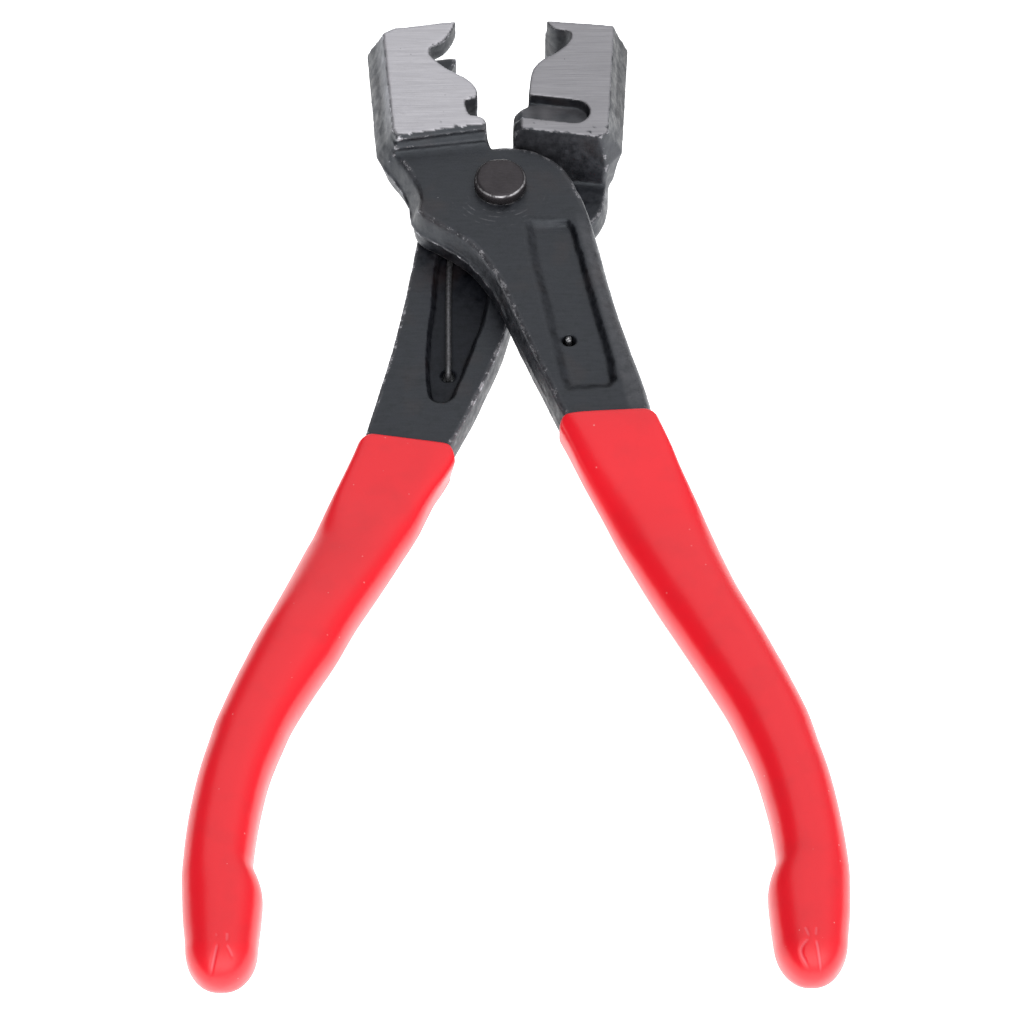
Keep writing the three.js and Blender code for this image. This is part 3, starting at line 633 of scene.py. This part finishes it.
def tube(rings, side):
    """Points and faces of a closed skin through rings, with a point at each end. Its faces
    look outward on rings that rise, and into the skin on a handle's rings."""
    n = len(rings[0])
    points = [rings[0].mean(0), *np.vstack(rings), rings[-1].mean(0)]
    faces = [(0, 1 + (k + 1) % n, 1 + k) for k in range(n)]
    for r in range(len(rings) - 1):
        a, b = 1 + r * n, 1 + (r + 1) * n
        faces += [(a + k, a + (k + 1) % n, b + (k + 1) % n, b + k) for k in range(n)]
    last = 1 + (len(rings) - 1) * n
    faces += [(last + k, last + (k + 1) % n, len(points) - 1) for k in range(n)]
    return np.array(points), faces if side > 0 else [f[::-1] for f in faces]


def round_end(end, length, steps):
    """(y, share of the full section) down a handle's rounded end."""
    for k in range(1, steps + 1):
        turn = 0.497 * math.pi * k / steps
        yield end + length * (1 - math.sin(turn)), math.cos(turn) ** 0.92


def pinch_marks(points, sleeve, side):
    """Depths of the folds pressed into the top of the sleeve's end."""
    x, y = side * points[:, 0], points[:, 1]
    depth = np.zeros(len(points))
    for size, curve in sleeve["folds"]:
        path = catmull(curve, 0.12)
        gap = np.hypot(x[:, None] - path[:, 0], y[:, None] - path[:, 1])
        nearest = gap.argmin(1)
        share = nearest / (len(path) - 1)
        taper = ease(share / 0.2) * ease((1 - share) / 0.35)
        depth = np.maximum(depth, size * taper * np.exp(-(gap.min(1) / 0.24) ** 2))
    return depth * (points[:, 2] > 0.3)


def sleeve_mesh(name, sleeve, side):
    """Dipped sleeve: cavity, rounded lip, outside and rounded closed end in one skin."""
    lip, end = sleeve["lip"], sleeve["end"]
    rings = [handle_ring(y, SLEEVE_WALL, sleeve, side, share)
             for y, share in reversed(list(round_end(TANG_END - 0.3, END_ROUND, 12)))]
    rings += [handle_ring(y, SLEEVE_WALL, sleeve, side)
              for y in np.arange(TANG_END + END_ROUND, lip - 1.2, 1.5)]
    rings += [handle_ring(lip - back, depth, sleeve, side) for back, depth in LIP_PROFILE]
    rings += [handle_ring(y, 0.0, sleeve, side) for y in np.arange(lip - 1.2, -122, -0.8)]
    rings += [handle_ring(y, 0.0, sleeve, side) for y in np.arange(-122, end + END_ROUND + 0.1, -0.3)]
    past_cavity = (len(rings) - 50) * SLEEVE_SIDES   # the end's outside comes after
    rings += [handle_ring(y, 0.0, sleeve, side, share) for y, share in round_end(end, END_ROUND, 30)]
    points, faces = tube(rings, side)
    normals = np.zeros_like(points)
    for f in faces:
        normals[list(f)] += np.cross(points[f[2]] - points[f[0]], points[f[-1]] - points[f[1]])
    normals /= np.maximum(np.linalg.norm(normals, axis=1, keepdims=True), 1e-9)
    near = np.flatnonzero((points[:, 1] < end + 9) & (np.arange(len(points)) > past_cavity))
    on_top = near[points[near, 2] > 0.3]
    fold = np.zeros(len(points))
    fold[on_top] = pinch_marks(points[on_top], sleeve, side)
    points += normals * fold[:, None]
    waves = 0.05 * value_noise(points, 9.0, 31) + 0.02 * value_noise(points, 3.0, 32)
    points += normals * (waves * ease((lip - points[:, 1]) / 6))[:, None]
    obj = make_mesh(name, points, faces)
    # the fold attribute also places a painted highlight in the vinyl's colour
    add_attribute(obj, "fold", fold / FOLD_DEPTH)
    return obj


def tang_mesh(sleeve, side):
    """The steel handle inside the sleeve."""
    depth = SLEEVE_WALL + 0.15
    rings = [handle_ring(y, depth, sleeve, side)
             for y in np.arange(STEEL_END + 2, TANG_END + END_ROUND, -2)]
    rings += [handle_ring(y, depth, sleeve, side, share)
              for y, share in round_end(TANG_END, END_ROUND, 8)]
    points, faces = tube([ring[::4] for ring in rings], side)
    return make_mesh("tang", points, faces)


# ---- pin and spring ----
def lathe(name, profile, sides):
    """A solid of revolution about the pivot axis from (radius, z) rows, first to last upward."""
    angle = 2 * math.pi * np.arange(sides) / sides
    rings = [np.column_stack([r * np.cos(angle), r * np.sin(angle), np.full(sides, z)])
             for r, z in profile]
    points, faces = tube(rings, 1)
    return make_mesh(name, points, faces)


def pin_profile():
    """Half section of the pin, from the middle of its riveted end to the middle of its head."""
    top, low, seat = PIN_HEAD_TOP, -LIFT, PLATE_TOP + LAP_GAP
    rivet, shank, head = PIN_RIVET_RADIUS, PIN_SHANK_RADIUS, PIN_HEAD_RADIUS
    corners = [(0.3, low), (3.2, low), (3.8, low + 0.12), (4.2, low + 0.5), (rivet, low + 0.85),
               (rivet, -seat - 0.1), (rivet - 0.1, -seat - 0.01), (shank, -seat), (shank, seat),
               (head - 0.1, seat + 0.01), (head, seat + 0.1), (head, top - 0.62),
               (head - 0.07, top - 0.5), (head - 0.45, top - 0.14), (head - 0.63, top - 0.05),
               (head - 0.95, top), (0.3, top)]
    rows = [corners[0]]
    for a, b in zip(corners, corners[1:]):
        steps = max(1, math.ceil(math.dist(a, b) / 0.5))
        shares = [k / steps for k in range(1, steps + 1)]
        rows += [(a[0] + (b[0] - a[0]) * t, a[1] + (b[1] - a[1]) * t) for t in shares]
    return rows


def pin_mesh():
    """Pivot pin; the head's worn edge isn't quite even."""
    pin = lathe("pivot_pin_turned", pin_profile(), 96)
    co = np.array([v.co for v in pin.data.vertices]) / MM
    radius = np.maximum(np.hypot(co[:, 0], co[:, 1]), 1e-6)
    edge = ease((radius - 3.4) / 0.6) * ease((co[:, 2] - LIFT - 9.0) / 0.4)
    dent = 0.07 * value_noise(co * (1, 1, 0), 1.3, 41) - 0.05
    co[:, :2] *= (1 + edge * dent / radius)[:, None]
    co[:, 2] += 0.03 * edge * value_noise(co * (1, 1, 0), 0.8, 42)
    pin.data.vertices.foreach_set("co", (co * MM).ravel())
    pin.data.update()
    return pin


def spring_path():
    """Centre line of the torsion spring: lower leg, coil round the pin, upper leg."""
    lower = [(-9.3, -32.9, -5.0), (-9.3, -32.9, -2.6), (-9.28, -32.4, -1.6), (-9.25, -31.2, -1.1),
             (-9.2, -28.5, -0.95), (-9.1, -18.0, -0.9), (-8.75, -9.4, -0.9), (-7.6, -4.0, -0.9)]
    upper = [(7.6, -4.0, 0.9), (8.75, -9.4, 0.9), (9.7, -18.0, 0.9), (10.45, -28.5, 0.95),
             (10.6, -31.0, 1.1), (10.66, -32.0, 1.7), (10.7, -32.4, 2.8), (10.7, -32.4, 6.6),
             (10.62, -32.3, 7.35)]
    steps = 54
    coil = []
    for k in range(steps + 1):
        share = k / steps
        angle = math.pi - share * COIL_TURNS * 2 * math.pi
        coil.append((COIL_RADIUS * math.cos(angle), COIL_RADIUS * math.sin(angle),
                     COIL_HALF_RISE * (2 * share - 1)))
    return catmull(lower + coil + upper, 0.3)


def spring_mesh():
    """Round wire swept along the spring's centre line, with rounded ends."""
    path = spring_path()
    tangent = np.gradient(path, axis=0)
    tangent /= np.linalg.norm(tangent, axis=1, keepdims=True)
    across = np.cross(tangent[0], (0.0, 1.0, 0.0))
    angle = 2 * math.pi * np.arange(20) / 20
    rings = []
    for k, (point, along) in enumerate(zip(path, tangent)):
        across = across - along * (across @ along)
        across /= np.linalg.norm(across)
        other = np.cross(along, across)
        to_end = min(k, len(path) - 1 - k) * 0.3
        radius = WIRE_RADIUS * math.sqrt(max(0.12, 1 - max(0, 1 - to_end / 0.5) ** 2))
        rings.append(point + radius * (np.outer(np.cos(angle), across) + np.outer(np.sin(angle), other)))
    points, faces = tube(rings, 1)
    return make_mesh("return_spring_wire", points, faces)


# ---- materials ----
class Finish:
    """A material being wired: plain numbers and colours are set, sockets are linked."""

    def __init__(self, name):
        self.material = bpy.data.materials.new(name)
        self.material.use_nodes = True
        self.tree = self.material.node_tree
        self.surface = self.tree.nodes["Principled BSDF"]
        coordinates = self.tree.nodes.new("ShaderNodeTexCoord").outputs["Object"]
        self.place = self.scaled(coordinates, (1 / MM, 1 / MM, 1 / MM))
        self.axes = self.node("SeparateXYZ", {0: self.place}).outputs

    def put(self, socket, value):
        if isinstance(value, bpy.types.NodeSocket):
            self.tree.links.new(value, socket)
        elif socket.type == "RGBA":
            socket.default_value = (*value, 1)
        else:
            socket.default_value = value

    def node(self, kind, inputs=None, **settings):
        node = self.tree.nodes.new("ShaderNode" + kind)
        for key, value in settings.items():
            setattr(node, key, value)
        for key, value in (inputs or {}).items():
            self.put(node.inputs[key], value)
        return node

    def scaled(self, vector, scale):
        return self.node("VectorMath", {0: vector, 1: scale}, operation="MULTIPLY").outputs[0]

    def noise(self, size, detail=2.0, stretch=(1, 1, 1), rough=0.5):
        """Noise from 0 to 1 with features about size millimetres across."""
        vector = self.scaled(self.place, tuple(s / size for s in stretch))
        inputs = {"Vector": vector, "Scale": 1.0, "Detail": detail, "Roughness": rough}
        return self.node("TexNoise", inputs).outputs["Fac"]

    def specks(self, cell, radius, share):
        """1 inside small round specks, one in some of the cells."""
        vector = self.scaled(self.place, (1 / cell,) * 3)
        spots = self.node("TexVoronoi", {"Vector": vector, "Scale": 1.0})
        draw = self.node("SeparateXYZ", {0: spots.outputs["Color"]}).outputs[0]
        chosen = self.ramp(draw, share, share - 0.01)
        spot = self.ramp(spots.outputs["Distance"], radius * 1.3 / cell, radius * 0.7 / cell)
        return self.times(spot, chosen)

    def ramp(self, value, low, high, to_low=0.0, to_high=1.0):
        inputs = {"Value": value, "From Min": low, "From Max": high, "To Min": to_low, "To Max": to_high}
        return self.node("MapRange", inputs, clamp=True).outputs[0]

    def calc(self, operation, a, b=0.0):
        return self.node("Math", {0: a, 1: b}, operation=operation).outputs[0]

    def times(self, a, b):
        return self.calc("MULTIPLY", a, b)

    def plus(self, a, b):
        return self.calc("ADD", a, b)

    def mix(self, share, a, b):
        node = self.node("Mix", data_type="RGBA")
        for socket, value in zip([s for s in node.inputs if s.enabled], (share, a, b)):
            self.put(socket, value)
        return [s for s in node.outputs if s.enabled][0]

    def from_pivot(self):
        """Distance from the pivot axis in millimetres."""
        x, y = self.axes[0], self.axes[1]
        return self.calc("SQRT", self.plus(self.times(x, x), self.times(y, y)))

    def attribute(self, name):
        return self.node("Attribute", attribute_name=name).outputs["Fac"]

    def bump(self, height, depth):
        """Fine relief: height from 0 to 1 standing for depth millimetres."""
        inputs = {"Height": height, "Strength": 1.0, "Distance": depth * MM}
        self.put(self.surface.inputs["Normal"], self.node("Bump", inputs).outputs[0])

    def look(self, **inputs):
        for key, value in inputs.items():
            self.put(self.surface.inputs[key.replace("_", " ")], value)
        return self.material


def oxide(f, broad, middle, convex):
    """Blackened skin: mottled blue-black, browner in broad patches, darkest in corners from dirt and
    painted shade.
    """
    black = f.mix(f.ramp(middle, 0.35, 0.68), (0.002, 0.0025, 0.0045), (0.0115, 0.012, 0.0165))
    black = f.mix(f.ramp(broad, 0.54, 0.72, 0, 0.6), black, (0.019, 0.0115, 0.011))
    # dirt and painted shade: darkest where the surface is concave
    return f.mix(f.ramp(convex, -0.12, -0.6, 0, 0.75), black, (0.001, 0.001, 0.002))


def ground_steel(f, lines):
    """Bare steel with grinding lines, streaks and a few pits; painted brighter on the left jaw."""
    streaks = f.noise(1.2, 2, stretch=(0.08, 1, 1))
    bright = f.mix(f.ramp(lines, 0.3, 0.7), (0.355, 0.35, 0.375), (0.475, 0.467, 0.495))
    bright = f.mix(f.ramp(streaks, 0.45, 0.75, 0, 0.25), bright, (0.3, 0.295, 0.31))
    # painted light and shade: the left jaw's face brighter and the right's darker, for the light their
    # tilt catches
    painted_light_level = f.ramp(f.axes[0], -4.0, 4.0, 1.27, 0.81)
    bright = f.node("VectorMath", {0: bright, 3: painted_light_level}, operation="SCALE").outputs[0]
    return f.mix(f.times(f.specks(1.9, 0.11, 0.3), 0.85), bright, (0.05, 0.05, 0.055))


def bare_share(f, middle, fine, painted_light_and_shade):
    """1 on bare metal: ground faces, worn edges, faintly where rubbed or scuffed; also painted light."""
    convex, ground = f.attribute("convex"), f.attribute("ground")
    ragged = f.plus(convex, f.ramp(fine, 0.3, 0.7, -0.1, 0.1))
    patchy = f.ramp(f.noise(1.5, 4, rough=0.65), 0.49, 0.6)
    worn = f.times(f.ramp(ragged, 0.25, 0.38, 0, 0.85), patchy)
    rubbed = f.times(f.ramp(convex, 0.12, 0.55), 0.13)
    # painted light: lighter steel colour where the painted light and shade attribute is above 0
    painted_light_share = f.times(f.ramp(painted_light_and_shade, 0.0, 1.0), f.ramp(middle, 0.3, 0.65, 0.07, 0.15))
    turning = f.times(f.ramp(f.noise(1.5, 4), 0.5, 0.66, 0, 0.16), swept_marks(f))
    bare = ground
    for share in (worn, rubbed, painted_light_share, turning):
        bare = f.calc("MAXIMUM", bare, share)
    return bare


def black_oxide():
    """Forged steel, oil blackened; bare where the edges are worn and the jaws ground."""
    f = Finish("black_oxide_steel")
    broad, middle, fine = f.noise(7.0, 3), f.noise(1.6, 5, rough=0.65), f.noise(0.28, 3)
    lines = f.noise(0.15, 3, stretch=(0.02, 1, 0.2), rough=0.7)
    rolled = f.noise(0.5, 4, stretch=(0.15, 1, 1), rough=0.7)
    ground, painted_light_and_shade = f.attribute("ground"), f.attribute("painted_light_and_shade")
    bare = bare_share(f, middle, fine, painted_light_and_shade)
    color = f.mix(bare, oxide(f, broad, middle, f.attribute("convex")), ground_steel(f, lines))
    dust = f.times(f.specks(3.6, 0.1, 0.16), f.calc("SUBTRACT", 1.0, ground))
    color = f.mix(f.times(dust, 0.35), color, (0.4, 0.4, 0.42))
    rough = f.mix(f.ramp(middle, 0.3, 0.7), (0.3,) * 3, (0.66,) * 3)
    f.bump(f.mix(ground, f.mix(0.5, middle, f.mix(0.5, fine, rolled)), lines), 0.06)
    mottle = f.times(f.ramp(middle, 0.32, 0.68, 0.82, 1.14), f.ramp(rolled, 0.3, 0.7, 0.88, 1.08))
    # painted shade: a lower specular level where the painted light and shade attribute is below 0
    gloss = f.times(f.ramp(painted_light_and_shade, -1.0, 0.0, 0.28, 0.71), mottle)
    return f.look(Base_Color=color, Metallic=f.times(bare, 0.92), Specular_IOR_Level=gloss,
                  Roughness=f.mix(bare, rough, (0.42,) * 3), Specular_Tint=(0.86, 0.92, 1.0))


def swept_marks(f):
    """1 on faint arcs scuffed into the lap plate below the pin."""
    radius = f.from_pivot()
    rings = f.ramp(f.calc("SINE", f.times(radius, 6.5)), 0.55, 0.95)
    near = f.times(f.ramp(radius, 5.2, 6.0), f.ramp(radius, 9.5, 8.0))
    below = f.times(f.ramp(f.axes[1], -2.0, -5.0), f.ramp(f.axes[2], LIFT + 7.5, LIFT + 7.7))
    return f.times(rings, f.times(near, below))


def pin_steel():
    """Dark handled steel, its turned edge worn bright."""
    f = Finish("pin_steel_worn")
    radius = f.from_pivot()
    on_edge = f.times(f.ramp(radius, 4.0, 4.1), f.ramp(radius, 4.5, 4.4))
    on_head = f.ramp(f.axes[2], LIFT + PIN_HEAD_TOP - 0.5, LIFT + PIN_HEAD_TOP - 0.36)
    toward_handles = f.ramp(f.axes[1], 3.0, -3.5, 0.35, 1.0)
    patchy = f.ramp(f.noise(0.9, 4), 0.38, 0.6)
    worn = f.times(f.times(f.times(on_edge, on_head), patchy), toward_handles)
    scratches = f.ramp(f.noise(0.25, 4, stretch=(0.3, 1, 1)), 0.3, 0.75)
    brown = f.mix(f.noise(1.7, 4), (0.03, 0.026, 0.029), (0.062, 0.056, 0.061))
    brown = f.mix(f.times(scratches, 0.4), brown, (0.085, 0.077, 0.084))
    color = f.mix(worn, brown, (0.62, 0.61, 0.63))
    f.bump(f.noise(0.3, 4), 0.03)
    return f.look(Base_Color=color, Metallic=0.75, Roughness=f.mix(worn, (0.5,) * 3, (0.3,) * 3))


def spring_steel():
    """Oiled spring wire with a painted highlight on its cut end."""
    f = Finish("spring_wire")
    color = f.mix(f.ramp(f.noise(0.5, 3), 0.3, 0.7), (0.07, 0.07, 0.075), (0.17, 0.17, 0.18))
    # painted highlight: the tip that rises through the leg's hole, brightened in patches
    painted_tip_glint = f.times(f.ramp(f.axes[2], LIFT + 6.8, LIFT + 7.0), f.ramp(f.noise(0.45, 3), 0.42, 0.56))
    color = f.mix(painted_tip_glint, color, (0.75, 0.75, 0.76))
    f.bump(f.noise(0.2, 3, stretch=(1, 0.15, 1)), 0.02)
    return f.look(Base_Color=color, Metallic=0.7, Roughness=0.45)


def red_vinyl():
    """Glossy dipped vinyl with a little dust on it, and painted highlights along the folds of its end.
    """
    f = Finish("red_dipped_vinyl")
    color = f.mix(f.noise(14.0, 2), (0.84, 0.0065, 0.018), (0.88, 0.0085, 0.022))
    # painted highlight: paler pink along the folds of the sleeve's end
    color = f.mix(f.ramp(f.attribute("fold"), 0.25, 0.9, 0, 0.6), color, (0.85, 0.17, 0.21))
    smudge = f.ramp(f.noise(5.0, 2), 0.5, 0.85, 0, 0.14)
    color = f.mix(smudge, color, (0.3, 0.012, 0.02))
    dust = f.calc("MAXIMUM", f.specks(3.4, 0.13, 0.4), f.specks(1.8, 0.1, 0.2))
    color = f.mix(f.times(dust, 0.65), color, (0.9, 0.36, 0.36))
    rough = f.ramp(f.noise(5.0, 4), 0.3, 0.7, 0.285, 0.34)
    f.bump(f.plus(f.noise(2.2, 2), f.times(dust, 0.4)), 0.02)
    return f.look(Base_Color=color, Roughness=f.calc("MAXIMUM", rough, f.times(dust, 0.7)), IOR=1.47,
                  Coat_Weight=0.2, Coat_Roughness=0.32)


def floor_white():
    f = Finish("floor")
    color = f.mix(f.noise(60.0, 2), (0.5, 0.5, 0.5), (0.53, 0.53, 0.53))
    return f.look(Base_Color=color, Roughness=0.7,
                  Emission_Color=(1, 1, 1), Emission_Strength=FLOOR_GLOW)


def finish_piece(obj, material, body, node):
    """Gives a piece its material and slot, the body it rides on and the CAD node it replaces."""
    obj.data.materials.clear()
    obj.data.materials.append(material)
    if body:
        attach(obj, body)
    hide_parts(node)


# ---- studio ----
def floor():
    half = 1500
    corners = [(-half, -half), (half, -half), (half, half), (-half, half)]
    sheet = make_mesh("floor", [(x, y, -LIFT - 0.05) for x, y in corners], [(0, 1, 2, 3)])
    sheet.data.materials.append(floor_white())


def wired(tree, kind, inputs, **settings):
    """Outputs of a new node in the sky; values are set, sockets are linked."""
    node = tree.nodes.new("ShaderNode" + kind)
    for key, value in settings.items():
        setattr(node, key, value)
    for key, value in inputs.items():
        if isinstance(value, bpy.types.NodeSocket):
            tree.links.new(value, node.inputs[key])
        else:
            node.inputs[key].default_value = value
    return node.outputs


def sky():
    """Soft room light: bright overhead and behind the camera, dim at the sides and the horizon."""
    world = bpy.data.worlds.new("studio")
    bpy.context.scene.world = world
    world.use_nodes = True
    tree = world.node_tree
    axes = wired(tree, "SeparateXYZ", {0: wired(tree, "TexCoord", {})["Generated"]})
    strength = 1.0
    for axis, low, high, dim, full in ((2, 0.15, 0.6, SKY["horizon"], SKY["top"]),
                                       (0, -0.46, -0.34, SKY["left"], 1.0),
                                       (0, 0.75, 0.45, SKY["right"], 1.0),
                                       (1, 0.0, -0.8, 1.0, SKY["behind"])):
        inputs = {"Value": axes[axis], "From Min": low, "From Max": high, "To Min": dim, "To Max": full}
        step = wired(tree, "MapRange", inputs, interpolation_type="SMOOTHSTEP")[0]
        strength = wired(tree, "Math", {0: strength, 1: step}, operation="MULTIPLY")[0]
    tree.links.new(strength, tree.nodes["Background"].inputs["Strength"])
    tree.nodes["Background"].inputs["Color"].default_value = (1, 1, 1, 1)


def camera():
    elevation, azimuth = math.radians(CAMERA["elevation"]), math.radians(CAMERA["azimuth"])
    back = Vector((math.sin(azimuth) * math.cos(elevation), -math.cos(azimuth) * math.cos(elevation),
                   math.sin(elevation)))
    data = bpy.data.cameras.new("camera")
    data.sensor_width = 36
    data.lens = CAMERA["lens"]
    data.clip_start = 0.01
    obj = bpy.data.objects.new("camera", data)
    bpy.context.scene.collection.objects.link(obj)
    obj.location = (Vector(CAMERA["target"]) + Vector((0, 0, LIFT)) + back * CAMERA["distance"]) * MM
    obj.rotation_euler = (-back).to_track_quat("-Z", "Y").to_euler()
    bpy.context.scene.camera = obj


# ---- assembly ----
upper = joined(forged("upper_half_forged", 1, *upper_half()), tang_mesh(RIGHT_SLEEVE, 1))
lower = joined(forged("lower_half_forged", -1, *lower_half()), tang_mesh(LEFT_SLEEVE, -1))
steel = black_oxide()
finish_piece(upper, steel, "upper", "upper_half")
finish_piece(lower, steel, "lower", "lower_half")
vinyl = red_vinyl()
right_sleeve = sleeve_mesh("right_grip_dipped", RIGHT_SLEEVE, 1)
left_sleeve = sleeve_mesh("left_grip_dipped", LEFT_SLEEVE, -1)
finish_piece(right_sleeve, vinyl, "upper", "right_grip")
finish_piece(left_sleeve, vinyl, "lower", "left_grip")
finish_piece(pin_mesh(), pin_steel(), "lower", "pivot_pin")
wire = spring_mesh()
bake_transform(wire)
finish_piece(wire, spring_steel(), None, "return_spring")

floor()
sky()
camera()
bpy.context.scene.view_settings.view_transform = "Standard"
